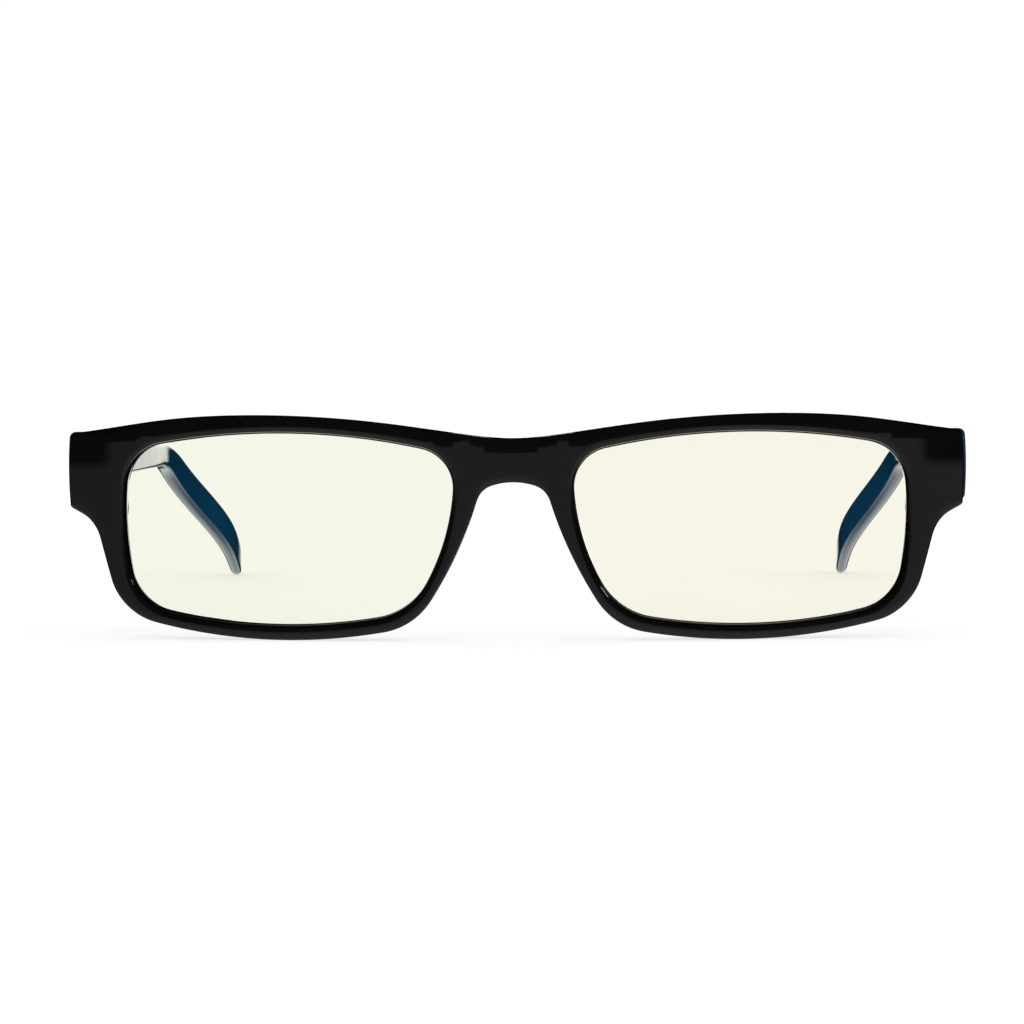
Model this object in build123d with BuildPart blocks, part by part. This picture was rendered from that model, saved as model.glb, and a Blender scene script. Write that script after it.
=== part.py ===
"""Blue light glasses: one moulded front, two lenses, and two temples on sprung hinges.

Millimetres. +X is the wearer's left, +Y runs back towards the ears and +Z is up. The glasses stand
open on a flat surface, on the bottoms of the rims and the tips of the temples. The origin is on that
surface, in the middle of the glasses.
"""

import os
from math import cos, radians, sin, tan

from build123d import *

# Overall
OVERALL_LENGTH = 146.2
FRONT = -OVERALL_LENGTH / 2  # foremost point of the bridge
REAR = OVERALL_LENGTH / 2  # rearmost point of the temple tips

# Front frame, front view: (x, z) of the corners of one half, with the fillets that round them
BRIDGE_TOP = 31.28
BRIDGE_UNDERSIDE = 24.5
TOP_EDGE = [(0, BRIDGE_TOP), (8, 32.0), (22, 33.9), (40, 34.93), (55, 34.17), (69.65, 32.07)]
TOP_EDGE_END = (1, -0.11)  # direction of the top edge where it meets the end piece
END_PIECE_BULGE = (70.0, 26.3)
END_PIECE_BOTTOM = (69.75, 20.5)
ARMPIT, ARMPIT_FILLET = (65.7, 18.35), 6.0
RIM_OUTER_CORNER, RIM_OUTER_FILLET = (61.8, 4.15), 9.7
RIM_INNER_CORNER, RIM_INNER_FILLET = (15.55, 2.2), 10.9
BRIDGE_CORNER, BRIDGE_FILLET = (5.2, 23.15), 3.7
RIM_OUTER_SAGITTA, RIM_BOTTOM_SAGITTA, RIM_NASAL_SAGITTA = 0.05, 3.1, 1.05

# Lens aperture: corner, fillet there, and the sagitta of the side from that corner to the next
APERTURE = [
    ((9.45, 28.5), 6.2, 3.1),  # nasal top, then the top side
    ((60.2, 29.4), 7.1, 1.45),  # temporal top, then the temporal side
    ((58.9, 5.5), 8.0, 2.6),  # temporal bottom, then the bottom side
    ((16.6, 4.35), 10.9, 2.4),  # nasal bottom, then the nasal side
]

# Front frame, plan view
FRONT_RADIUS = 300.0
FRONT_THICKNESS = 4.2
BUTT = FRONT + 13.0  # flat back face of the end pieces
END_PIECE_INNER = 62.6
RAMP_START = 58.0  # where the back of the rim starts to run out to the end piece
GUSSET_FOOT = 15.5  # height where the end piece starts to grow out of the rim
GUSSET_BACK = 20.2  # height of that slope at the butt face, just under the end piece
MOULD_HEIGHT = 36.0
MOULD_DEPTH = 20.0
MOULD_WIDTH = 80.0
FRONT_VIEW = Plane.XZ.offset(1.0 - FRONT)  # just ahead of the bridge, seen from the front
FRONT_EDGE_FILLET = 0.9
APERTURE_EDGE_FILLET = 0.5

# Nose pads, moulded on the backs of the nasal rims
PAD_TOP, PAD_BOTTOM = 21.5, 6.5
PAD_DEPTH = 3.6
PAD_ROOT = 2.0  # how deep the ends of the pad's profile lie in the rim
PAD_REACH = 13.2  # largest x of a pad

# Lenses
LENS_RADIUS = 298.7
LENS_THICKNESS = 1.8
LENS_MID_HEIGHT = 17.2
LENS_LAP = 0.8  # how far the lens reaches into the rim
LENS_BEVEL = 0.5
GROOVE_CLEARANCE = 0.04

# Temples, side view (y, z) and plan view (x, y)
BUTT_GAP = 0.05
TEMPLE_BUTT_TOP, TEMPLE_BUTT_BOTTOM = 32.2, 20.9
TEMPLE_WAIST = FRONT + 50.0  # where the deep front of the temple has tapered down
WAIST_TOP, WAIST_BOTTOM = 29.0, 23.8
WAIST_FILLET = 70.0
TOP_FALL, BOTTOM_FALL = 0.042, 0.017  # fall of the straight part's edges per unit of length
EAR_DROP = radians(30.5)
TIP_RADIUS = 2.7
BEND_FILLET_TOP, BEND_FILLET_BOTTOM = 22.0, 17.0
TEMPLE_OUTER = [(70.7, 0), (70.35, 37), (69.4, 82), (68.85, 93), (65.25, 107), (60.65, 122), (59.35, 134)]
TEMPLE_INNER = [(65.6, 0), (65.9, 37), (66.3, 82), (66.0, 93), (62.6, 107), (58.15, 122), (57.4, 134)]
TEMPLE_FILLET = 0.9

# Hinge
HINGE_X = 64.7
HINGE_Y = BUTT + 1.6
HINGE_Z = 26.5
BARREL_RADIUS = 1.5
KNUCKLE_HEIGHT = 1.7
KNUCKLE_GAP = 0.05
LEAF_SINK = 3.0  # depth of the leaf's foot in the end piece
SCREW_RADIUS = 0.7
SCREW_FIT = 0.02
RUNNING_FIT = 0.04
SCREW_HEAD_RADIUS = 1.15
SCREW_HEAD_HEIGHT = 0.5
SCREW_HEAD_FILLET = 0.15
SCREW_SLOT_WIDTH, SCREW_SLOT_DEPTH = 0.35, 0.25

# Spring mechanism in the temple
CASE_X = 66.2
CASE_WIDTH, CASE_HEIGHT, CASE_LENGTH = 3.0, 4.6, 11.0
CASE_FRONT = HINGE_Y + 1.8
CASE_GAP = 0.2  # between the case and the tongue's neck when the spring is shut
CASE_WALL = 1.0  # front wall, which the spring presses on
CASE_BORE_RADIUS = 1.25
CASE_FILLET = 0.4
SHANK_RADIUS = 0.6
SHANK_FIT = 0.05
NECK_WIDTH = 1.4
SPRING_RADIUS = 0.98  # to the middle of the wire
SPRING_WIRE_RADIUS = 0.16
SPRING_LENGTH = 5.4
SPRING_TURNS = 7
STOP_RADIUS, STOP_LENGTH = 1.15, 0.9
STOP_FRONT = CASE_FRONT + CASE_WALL + SPRING_LENGTH
RIVET_LENGTH = 0.2
NOTCH_X = 67.1  # the temple is cut back to here round the knuckles
NOTCH_CLEARANCE = 0.6


def round_corners(sketch, corners):
    """Fillet the sketch's vertices nearest to the given points, each with its own radius."""
    for point, radius in corners:
        corner = sketch.vertices().sort_by_distance((*point, 0))[0]
        fillet(corner, radius=radius)


def rounded_aperture(side, lap=0.0):
    """Aperture of one rim in the front view, grown by lap: four curved sides, then their fillets."""
    points = [(side * x, z) for (x, z), _, _ in APERTURE]
    fillets = [radius + lap for _, radius, _ in APERTURE]
    sagittas = [side * sagitta for _, _, sagitta in APERTURE]
    with BuildSketch(FRONT_VIEW) as aperture:
        with BuildLine():
            for start, end, sagitta in zip(points, points[1:] + points[:1], sagittas):
                SagittaArc(start, end, sagitta)
        make_face()
        if lap > 0:
            offset(amount=lap, kind=Kind.INTERSECTION)
        round_corners(aperture, list(zip(points, fillets)))
    return aperture.sketch


def front_outline():
    """Outline of the front without its apertures, in the front view."""
    with BuildSketch(FRONT_VIEW) as outline:
        with BuildLine():
            Spline(*TOP_EDGE, tangents=[(1, 0), TOP_EDGE_END])
            ThreePointArc(TOP_EDGE[-1], END_PIECE_BULGE, END_PIECE_BOTTOM)
            Line(END_PIECE_BOTTOM, ARMPIT)
            SagittaArc(ARMPIT, RIM_OUTER_CORNER, RIM_OUTER_SAGITTA)
            SagittaArc(RIM_OUTER_CORNER, RIM_INNER_CORNER, RIM_BOTTOM_SAGITTA)
            SagittaArc(RIM_INNER_CORNER, BRIDGE_CORNER, RIM_NASAL_SAGITTA)
            TangentArc((0, BRIDGE_UNDERSIDE), BRIDGE_CORNER, tangent=(1, 0))
            mirror(about=Plane.YZ)
        make_face()
        for side in (-1, 1):
            round_corners(
                outline,
                [
                    ((side * ARMPIT[0], ARMPIT[1]), ARMPIT_FILLET),
                    ((side * RIM_OUTER_CORNER[0], RIM_OUTER_CORNER[1]), RIM_OUTER_FILLET),
                    ((side * RIM_INNER_CORNER[0], RIM_INNER_CORNER[1]), RIM_INNER_FILLET),
                    ((side * BRIDGE_CORNER[0], BRIDGE_CORNER[1]), BRIDGE_FILLET),
                ],
            )
    return outline.sketch


def arc_point(radius, x):
    """Point of the plan arc of the given radius about the front's centre of curvature."""
    return (x, FRONT + FRONT_RADIUS - (radius**2 - x**2) ** 0.5)


def shell_plan(inner, outer):
    """Plan view of a curved wall between two radii about the front's centre of curvature."""
    edge = MOULD_WIDTH
    with BuildSketch(Plane.XY) as plan:
        with BuildLine():
            ThreePointArc(arc_point(outer, -edge), arc_point(outer, 0), arc_point(outer, edge))
            Line(arc_point(outer, edge), arc_point(inner, edge))
            ThreePointArc(arc_point(inner, edge), arc_point(inner, 0), arc_point(inner, -edge))
            Line(arc_point(inner, -edge), arc_point(outer, -edge))
        make_face()
    return plan.sketch


def end_piece_plan(side):
    """Plan view of one end piece, from the front face back to its butt face."""
    back_radius = FRONT_RADIUS - FRONT_THICKNESS
    ramp = arc_point(back_radius, RAMP_START)
    outer = MOULD_WIDTH
    front_inner = arc_point(FRONT_RADIUS, RAMP_START)
    front_outer = arc_point(FRONT_RADIUS, outer)
    front_middle = arc_point(FRONT_RADIUS, (RAMP_START + outer) / 2)
    with BuildSketch(Plane.XY) as plan:
        with BuildLine():
            ThreePointArc(*[(side * x, y) for x, y in (front_inner, front_middle, front_outer)])
            Polyline(
                *[
                    (side * x, y)
                    for x, y in (front_outer, (outer, BUTT), (END_PIECE_INNER, BUTT), ramp, front_inner)
                ]
            )
        make_face()
    return plan.sketch


def end_piece(side, outline):
    """Deep end of the front: it runs back from the shell to the butt face the temple closes on."""
    with BuildSketch(Plane.YZ) as gusset:
        with BuildLine():
            Polyline(
                (FRONT, GUSSET_FOOT),
                (BUTT, GUSSET_BACK),
                (BUTT, MOULD_HEIGHT),
                (FRONT, MOULD_HEIGHT),
                close=True,
            )
        make_face()
    with BuildPart() as block:
        extrude(outline, amount=-MOULD_DEPTH)
        extrude(end_piece_plan(side), amount=MOULD_HEIGHT, mode=Mode.INTERSECT)
        extrude(gusset.sketch, amount=side * MOULD_WIDTH, mode=Mode.INTERSECT)
    return block.part


def nose_pad(side, outline):
    """Rounded swelling on the back of the nasal side of a rim, which rests on the nose."""
    rim_back = FRONT + FRONT_THICKNESS
    inside = rim_back - PAD_ROOT
    crown = (rim_back + PAD_DEPTH, (PAD_TOP + PAD_BOTTOM) / 2)
    with BuildSketch(Plane.YZ) as profile:
        with BuildLine():
            ThreePointArc((inside, PAD_TOP), crown, (inside, PAD_BOTTOM))
            Line((inside, PAD_BOTTOM), (inside, PAD_TOP))
        make_face()
    with BuildPart() as pad:
        extrude(outline, amount=-MOULD_DEPTH)
        extrude(profile.sketch, amount=side * PAD_REACH, mode=Mode.INTERSECT)
    return pad.part


def lens_body(side, lap, radius, thickness):
    """Curved plate under one aperture that laps the rim all round by the given amount."""
    with BuildPart() as body:
        extrude(rounded_aperture(side, lap), amount=-MOULD_DEPTH)
        with Locations((0, FRONT + FRONT_RADIUS, LENS_MID_HEIGHT)):
            Sphere(radius, mode=Mode.INTERSECT)
            Sphere(radius - thickness, mode=Mode.SUBTRACT)
    return body.part


def front_leaf(side):
    """Two outer knuckles of the hinge, on a foot that is sunk in the end piece."""
    height = 3 * KNUCKLE_HEIGHT + 2 * KNUCKLE_GAP
    bottom = HINGE_Z - height / 2
    with BuildPart() as leaf:
        with BuildSketch(Plane.XY.offset(bottom)):
            with Locations((side * HINGE_X, HINGE_Y)):
                Circle(BARREL_RADIUS)
                Rectangle(2 * BARREL_RADIUS, HINGE_Y - BUTT + LEAF_SINK, align=(Align.CENTER, Align.MAX))
        extrude(amount=height)
        with BuildSketch(Plane.XY.offset(HINGE_Z)):
            with Locations((side * HINGE_X, BUTT)):
                Rectangle(4 * BARREL_RADIUS, 4 * BARREL_RADIUS, align=(Align.CENTER, Align.MIN))
        extrude(amount=KNUCKLE_HEIGHT / 2 + KNUCKLE_GAP, both=True, mode=Mode.SUBTRACT)
        with BuildSketch(Plane.XY.offset(bottom)):
            with Locations((side * HINGE_X, HINGE_Y)):
                Circle(SCREW_RADIUS + SCREW_FIT)
        extrude(amount=height, mode=Mode.SUBTRACT)
    return leaf.part


def hinge_screw(side):
    """Slotted screw down through the knuckles: the pin of the fold."""
    height = 3 * KNUCKLE_HEIGHT + 2 * KNUCKLE_GAP
    top = HINGE_Z + height / 2
    with BuildPart() as screw:
        with BuildSketch(Plane.XY.offset(top - height)):
            with Locations((side * HINGE_X, HINGE_Y)):
                Circle(SCREW_RADIUS)
        extrude(amount=height)
        with BuildSketch(Plane.XY.offset(top)):
            with Locations((side * HINGE_X, HINGE_Y)):
                Circle(SCREW_HEAD_RADIUS)
        extrude(amount=SCREW_HEAD_HEIGHT)
        rim = screw.edges().group_by(Axis.Z)[-1]
        fillet(rim, radius=SCREW_HEAD_FILLET)
        with BuildSketch(Plane.XY.offset(top + SCREW_HEAD_HEIGHT)):
            with Locations((side * HINGE_X, HINGE_Y)):
                Rectangle(SCREW_SLOT_WIDTH, 4 * SCREW_HEAD_RADIUS)
        extrude(amount=-SCREW_SLOT_DEPTH, mode=Mode.SUBTRACT)
    return screw.part


def hinge_tongue(side):
    """Middle knuckle of the hinge, with the neck and shank that run into the spring case."""
    neck_outer = CASE_X + NECK_WIDTH / 2
    neck_back = CASE_FRONT - CASE_GAP
    shank_end = STOP_FRONT + STOP_LENGTH + RIVET_LENGTH
    with BuildPart() as tongue:
        with BuildSketch(Plane.XY.offset(HINGE_Z - KNUCKLE_HEIGHT / 2)):
            with Locations((side * HINGE_X, HINGE_Y)):
                Circle(BARREL_RADIUS)
            with Locations((side * (HINGE_X + neck_outer) / 2, HINGE_Y)):
                Rectangle(neck_outer - HINGE_X, neck_back - HINGE_Y, align=(Align.CENTER, Align.MIN))
            with Locations((side * HINGE_X, HINGE_Y)):
                Circle(SCREW_RADIUS + RUNNING_FIT, mode=Mode.SUBTRACT)
        extrude(amount=KNUCKLE_HEIGHT)
        with BuildSketch(Plane.XZ.offset(-neck_back)):
            with Locations((side * CASE_X, HINGE_Z)):
                Circle(SHANK_RADIUS)
        extrude(amount=neck_back - shank_end)
    return tongue.part


def spring_case(side):
    """Metal box let into the inner face of the temple. The shank slides through its front wall."""
    with BuildPart() as case:
        with BuildSketch(Plane.XZ.offset(-CASE_FRONT)):
            with Locations((side * CASE_X, HINGE_Z)):
                RectangleRounded(CASE_WIDTH, CASE_HEIGHT, CASE_FILLET)
        extrude(amount=-CASE_LENGTH)
        with BuildSketch(Plane.XZ.offset(-CASE_FRONT)):
            with Locations((side * CASE_X, HINGE_Z)):
                Circle(SHANK_RADIUS + SHANK_FIT)
        extrude(amount=-CASE_WALL, mode=Mode.SUBTRACT)
        with BuildSketch(Plane.XZ.offset(-(CASE_FRONT + CASE_WALL))):
            with Locations((side * CASE_X, HINGE_Z)):
                Circle(CASE_BORE_RADIUS)
        extrude(amount=CASE_WALL - CASE_LENGTH, mode=Mode.SUBTRACT)
    return case.part


def coil_spring(side):
    """Compression spring round the shank, between the case's front wall and the stop."""
    start = CASE_FRONT + CASE_WALL + SPRING_WIRE_RADIUS
    height = SPRING_LENGTH - 2 * SPRING_WIRE_RADIUS
    with BuildPart() as spring:
        with BuildLine() as wire:
            Helix(
                pitch=height / SPRING_TURNS,
                height=height,
                radius=SPRING_RADIUS,
                center=(side * CASE_X, start, HINGE_Z),
                direction=(0, 1, 0),
            )
        with BuildSketch(Plane(origin=wire.line @ 0, z_dir=wire.line % 0)):
            Circle(SPRING_WIRE_RADIUS)
        sweep(is_frenet=True)
    return spring.part


def spring_stop(side):
    """Collar on the far end of the shank, which the spring pushes against."""
    with BuildPart() as stop:
        with BuildSketch(Plane.XZ.offset(-STOP_FRONT)):
            with Locations((side * CASE_X, HINGE_Z)):
                Circle(STOP_RADIUS)
                Circle(SHANK_RADIUS, mode=Mode.SUBTRACT)
        extrude(amount=-STOP_LENGTH)
    return stop.part


def temple_side_view():
    """Side view of a temple: deep at the butt, slim past the waist, and bent down at the ear."""
    along = (cos(EAR_DROP), -sin(EAR_DROP))
    across = (sin(EAR_DROP), cos(EAR_DROP))
    tip = (REAR - TIP_RADIUS, TIP_RADIUS)
    tip_top = (tip[0] + TIP_RADIUS * across[0], tip[1] + TIP_RADIUS * across[1])
    tip_end = (tip[0] + TIP_RADIUS * along[0], tip[1] + TIP_RADIUS * along[1])
    tip_bottom = (tip[0] - TIP_RADIUS * across[0], tip[1] - TIP_RADIUS * across[1])

    def bend(ear_point, waist_height, fall):
        """Corner where the straight edge from the waist meets the ear's edge."""
        slope = tan(EAR_DROP)
        drop = waist_height - fall * (ear_point[0] - TEMPLE_WAIST) - ear_point[1]
        y = ear_point[0] - drop / (slope - fall)
        return (y, waist_height - fall * (y - TEMPLE_WAIST))

    bend_top = bend(tip_top, WAIST_TOP, TOP_FALL)
    bend_bottom = bend(tip_bottom, WAIST_BOTTOM, BOTTOM_FALL)
    butt = BUTT + BUTT_GAP
    with BuildSketch(Plane.YZ) as view:
        with BuildLine():
            Polyline((butt, TEMPLE_BUTT_TOP), (TEMPLE_WAIST, WAIST_TOP), bend_top, tip_top)
            ThreePointArc(tip_top, tip_end, tip_bottom)
            Polyline(tip_bottom, bend_bottom, (TEMPLE_WAIST, WAIST_BOTTOM), (butt, TEMPLE_BUTT_BOTTOM))
            Line((butt, TEMPLE_BUTT_BOTTOM), (butt, TEMPLE_BUTT_TOP))
        make_face()
        round_corners(
            view,
            [
                ((TEMPLE_WAIST, WAIST_TOP), WAIST_FILLET),
                ((TEMPLE_WAIST, WAIST_BOTTOM), WAIST_FILLET),
                (bend_top, BEND_FILLET_TOP),
                (bend_bottom, BEND_FILLET_BOTTOM),
            ],
        )
    return view.sketch


def temple(side):
    """One temple, notched round the knuckles and pocketed for the spring case."""
    outer = [(side * x, BUTT + y) for x, y in TEMPLE_OUTER]
    inner = [(side * x, BUTT + y) for x, y in reversed(TEMPLE_INNER)]
    with BuildSketch(Plane.XY) as plan:
        with BuildLine():
            Spline(*outer)
            Line(outer[-1], inner[0])
            Spline(*inner)
            Line(inner[-1], outer[0])
        make_face()
    notch_height = 3 * KNUCKLE_HEIGHT + 2 * (KNUCKLE_GAP + NOTCH_CLEARANCE) + 2 * SCREW_HEAD_HEIGHT
    with BuildPart() as arm:
        extrude(temple_side_view(), amount=side * MOULD_WIDTH)
        extrude(plan.sketch, amount=MOULD_HEIGHT, mode=Mode.INTERSECT)
        butt_edges = arm.edges().group_by(Axis.Y)[0]
        fillet(arm.edges() - butt_edges, radius=TEMPLE_FILLET)
        with BuildSketch(Plane.XY.offset(HINGE_Z)):
            with Locations((side * (NOTCH_X + END_PIECE_INNER) / 2, BUTT)):
                Rectangle(NOTCH_X - END_PIECE_INNER, CASE_FRONT - BUTT, align=(Align.CENTER, Align.MIN))
        extrude(amount=notch_height / 2, both=True, mode=Mode.SUBTRACT)
        with BuildSketch(Plane.XZ.offset(-CASE_FRONT)):
            with Locations((side * CASE_X, HINGE_Z)):
                RectangleRounded(CASE_WIDTH, CASE_HEIGHT, CASE_FILLET)
        extrude(amount=-CASE_LENGTH, mode=Mode.SUBTRACT)
    return arm.part


def front_face(part):
    """Front cylinder of the frame: the foremost of its two largest curved faces."""
    return part.faces().filter_by(GeomType.CYLINDER).sort_by(SortBy.AREA)[-2:].sort_by(Axis.Y)[0]


outline = front_outline()
with BuildPart() as front_frame:
    extrude(outline, amount=-MOULD_DEPTH)
    shell = shell_plan(FRONT_RADIUS - FRONT_THICKNESS, FRONT_RADIUS)
    extrude(shell, amount=MOULD_HEIGHT, mode=Mode.INTERSECT)
    for side in (-1, 1):
        add(end_piece(side, outline))
        add(nose_pad(side, outline))
    for side in (-1, 1):
        extrude(rounded_aperture(side), amount=-MOULD_DEPTH, mode=Mode.SUBTRACT)
    fillet(front_face(front_frame).outer_wire().edges(), radius=FRONT_EDGE_FILLET)
    for wire in front_face(front_frame).inner_wires():
        fillet(wire.edges(), radius=APERTURE_EDGE_FILLET)
    for side in (-1, 1):
        add(
            lens_body(
                side,
                LENS_LAP + GROOVE_CLEARANCE,
                LENS_RADIUS + GROOVE_CLEARANCE,
                LENS_THICKNESS + 2 * GROOVE_CLEARANCE,
            ),
            mode=Mode.SUBTRACT,
        )
        add(front_leaf(side), mode=Mode.SUBTRACT)


def lens(side):
    """One lens, with its edge bevelled to snap into the rim."""
    with BuildPart() as body:
        add(lens_body(side, LENS_LAP, LENS_RADIUS, LENS_THICKNESS))
        for face in body.faces().filter_by(GeomType.SPHERE):
            chamfer(face.outer_wire().edges(), length=LENS_BEVEL)
    return body.part


parts = {"front_frame": front_frame.part}
for side, name in ((-1, "right"), (1, "left")):
    parts[f"lens_{name}"] = lens(side)
    parts[f"temple_{name}"] = temple(side)
    parts[f"hinge_front_leaf_{name}"] = front_leaf(side)
    parts[f"hinge_screw_{name}"] = hinge_screw(side)
    parts[f"hinge_tongue_{name}"] = hinge_tongue(side)
    parts[f"spring_case_{name}"] = spring_case(side)
    parts[f"coil_spring_{name}"] = coil_spring(side)
    parts[f"spring_stop_{name}"] = spring_stop(side)

os.makedirs("parts", exist_ok=True)
for name, part in parts.items():
    part.label = name
    export_step(part, f"parts/{name}.step")
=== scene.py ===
"""Blue light glasses: the looks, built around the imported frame.

The front, the lenses and the temples are meshes built here from the same driving sizes as the frame. The
hinge parts are the frame's own, with metal materials. Lengths in the shape functions are millimetres. Front
views are (x, z) pairs, outlines run clockwise, and their normals point into the material or, on an aperture,
into the opening.
"""

import math

import bmesh
import bpy
import numpy as np
from mathutils import Matrix, Vector
from mathutils.geometry import delaunay_2d_cdt


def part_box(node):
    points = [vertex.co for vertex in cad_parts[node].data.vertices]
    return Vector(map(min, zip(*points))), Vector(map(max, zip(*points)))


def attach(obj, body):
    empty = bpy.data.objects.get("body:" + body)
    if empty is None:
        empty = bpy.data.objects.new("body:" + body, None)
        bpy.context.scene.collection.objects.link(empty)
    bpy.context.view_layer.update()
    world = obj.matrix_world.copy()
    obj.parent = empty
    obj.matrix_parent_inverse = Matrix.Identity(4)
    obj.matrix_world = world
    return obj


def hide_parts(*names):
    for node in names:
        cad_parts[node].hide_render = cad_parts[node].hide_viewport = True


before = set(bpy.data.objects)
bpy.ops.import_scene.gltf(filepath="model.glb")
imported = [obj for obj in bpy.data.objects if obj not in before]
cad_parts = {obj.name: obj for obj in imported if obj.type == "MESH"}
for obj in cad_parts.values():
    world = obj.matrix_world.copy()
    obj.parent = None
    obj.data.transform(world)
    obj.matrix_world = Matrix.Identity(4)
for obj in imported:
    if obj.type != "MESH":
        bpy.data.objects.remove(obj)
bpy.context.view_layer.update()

MM = 0.001
SIDES = {"right": -1, "left": 1}
STRAIGHT = 0.001  # sagitta of a side that is straight, so that every side is an arc


def box_mm(node):
    """Lowest and highest corner of a frame node, in millimetres."""
    return [np.array(corner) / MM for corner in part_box(node)]


# Places that come from the frame
FRONT = box_mm("front_frame")[0][1]
BUTT = box_mm("front_frame")[1][1]
REAR = box_mm("temple_left")[1][1]
TEMPLE_BUTT = box_mm("temple_left")[0][1]
LEAF_LOW = box_mm("hinge_front_leaf_left")[0]
SCREW_LOW, SCREW_HIGH = box_mm("hinge_screw_left")
CASE_LOW, CASE_HIGH = box_mm("spring_case_left")

# Front, front view
TOP_EDGE = [(0, 31.28), (8, 32.0), (22, 33.9), (40, 34.93), (55, 34.17), (69.65, 32.07)]
TOP_END_SLOPE = -0.11
TOP_EDGE_STOP = 2.0  # the curve ends this far before the corner, and a straight side goes on
OUTLINE_SPACING = 0.6
END_PIECE_BOTTOM = (69.75, 20.5)
ARMPIT = (65.7, 18.35)
RIM_OUTER_CORNER = (61.8, 4.15)
RIM_INNER_CORNER = (15.55, 2.2)
BRIDGE_CORNER = (5.2, 23.15)
BRIDGE_UNDERSIDE = 24.5
END_PIECE_SAGITTA = 0.3
RIM_SAGITTAS = (0.05, 3.1, 1.05)  # outer side, bottom and nasal side
END_PIECE_FILLETS = (0.5, 0.6)
RIM_FILLETS = (-6.0, 9.7, 10.9, -3.7)  # armpit, outer, inner and bridge corner; negative is a hollow corner
APERTURE = [
    ((9.45, 28.5), 6.2, 3.1),  # corner, fillet there, sagitta of the side to the next corner
    ((60.2, 29.4), 7.1, 1.45),
    ((58.9, 5.5), 8.0, 2.6),
    ((16.6, 4.35), 10.9, 2.4),
]

# Front, depth
FRONT_RADIUS = 300.0
FRONT_THICKNESS = 4.2
RAMP_START, RAMP_END = 58.0, 62.6
GUSSET_FOOT, GUSSET_BACK = 15.5, 20.2
PAD_TOP, PAD_BOTTOM = 21.5, 6.5
PAD_DEPTH, PAD_ROOT = 3.6, 2.0
PAD_REACH = 13.2
PAD_FADE_START, PAD_FADE_END, PAD_END = PAD_REACH - 2.5, PAD_REACH + 1, PAD_REACH + 2
PAD_FADE_DEPTH = 1.2
PAD_BLEND = 0.5
BACK_ROUNDING = 0.45
SEAM_HEIGHT, SEAM_WIDTH = 0.03, 0.07  # parting line of the mould, round the outer wall
SEAM_DEPTH = 0.62  # its place between the front and the back of the wall

# Bevel between the front face and the outer wall: width, depth as a share of the width, and squareness
# (1 is an elliptic rounding, 2 a flat chamfer)
BROW_WIDTH = [(7.8, 0.35), (10, 1.35), (22, 1.4), (31, 1.35), (40, 1.6), (52, 1.9), (60, 1.5), (70, 1.2)]
BROW_BEVEL = (0.6, 1.75)  # share and squareness, with the width above
BRIDGE_BEVEL = (1.5, 0.6, 1.8)
SIDE_BEVEL = (0.4, 0.9, 1.1)
LOWER_BEVEL = (1.0, 0.55, 1.15)
BRIDGE_BEVEL_REACH = 7.4  # where the bridge's bevel has narrowed to nothing

# End pieces: above END_LEAN_Z the front face leans back, from END_LEAN_START outwards
END_LEAN_Z, END_LEAN_BEND = 27.15, 0.25
END_LEAN_SLOPE = 0.07
END_LEAN_START, END_LEAN_FULL = 62.2, 65.2

# Shallow dimple on the bridge
DIMPLE_DEPTH = 0.05
DIMPLE_PLACE, DIMPLE_REACH = (0.3, 28.4), (0.9, 0.35)

BEVEL_TURN = (0.35, 0.9)  # a side's bevel turns into the upper or lower one as the normal's z grows so

# Bevel round an aperture, and the narrow ledge in front of the lens
UPPER_LIP = (0.75, 0.9, 1.1)
SIDE_LIP = (0.75, 0.5, 1.2)
LOWER_LIP = (0.75, 0.6, 1.2)
LEDGE_WIDTH = 0.24
LEDGE_DEPTH = 0.95
LEDGE_PROFILE = (  # distance from the opening and depth behind the face, down the wall and along the ledge
    (LEDGE_WIDTH - 0.03, LEDGE_DEPTH - 0.05),
    (LEDGE_WIDTH - 0.07, LEDGE_DEPTH),
    (0.04, LEDGE_DEPTH),
)

# Lenses
LENS_RADIUS = 298.7
LENS_THICKNESS = 1.8
LENS_MID_HEIGHT = 17.2
LENS_LAP = 0.8
LENS_BEVEL = 0.5
GROOVE_CLEARANCE = 0.04

# Temples
TEMPLE_BUTT_TOP, TEMPLE_BUTT_BOTTOM = 32.2, 20.9
WAIST_Y = FRONT + 50.0
WAIST_TOP, WAIST_BOTTOM = 29.0, 23.8
WAIST_FILLET = 70.0
TOP_FALL, BOTTOM_FALL = 0.042, 0.017
EAR_DROP = math.radians(30.5)
TIP_RADIUS = 2.7
BEND_FILLETS = (22.0, 17.0)
TEMPLE_OUTER = [(70.7, 0), (70.35, 37), (69.4, 82), (68.85, 93), (65.25, 107), (60.65, 122), (59.35, 134)]
TEMPLE_INNER = [(65.6, 0), (65.9, 37), (66.3, 82), (66.0, 93), (62.6, 107), (58.15, 122), (57.4, 134)]
TEMPLE_EDGE = 0.95
TEMPLE_CROWN = 0.25
NOTCH_X = 67.1
NOTCH_CLEARANCE = 0.65

# Spacing of the inner points of the meshes, and the angle from which an edge stays sharp
FACE_SPACING, BACK_SPACING, LENS_SPACING = 0.9, 0.8, 1.6
SHARP_ANGLE = math.radians(35)


# ---------------------------------------------------------------- outlines


def side_circle(start, end, sagitta):
    """Centre and signed radius of an arc that bulges from its chord by sagitta, to the left if positive."""
    start, end = np.array(start, float), np.array(end, float)
    chord = end - start
    half = np.linalg.norm(chord) / 2
    right = np.array((chord[1], -chord[0])) / (2 * half)
    radius = (half**2 + sagitta**2) / (2 * sagitta)
    return (start + end) / 2 + right * (radius - sagitta), radius


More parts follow.
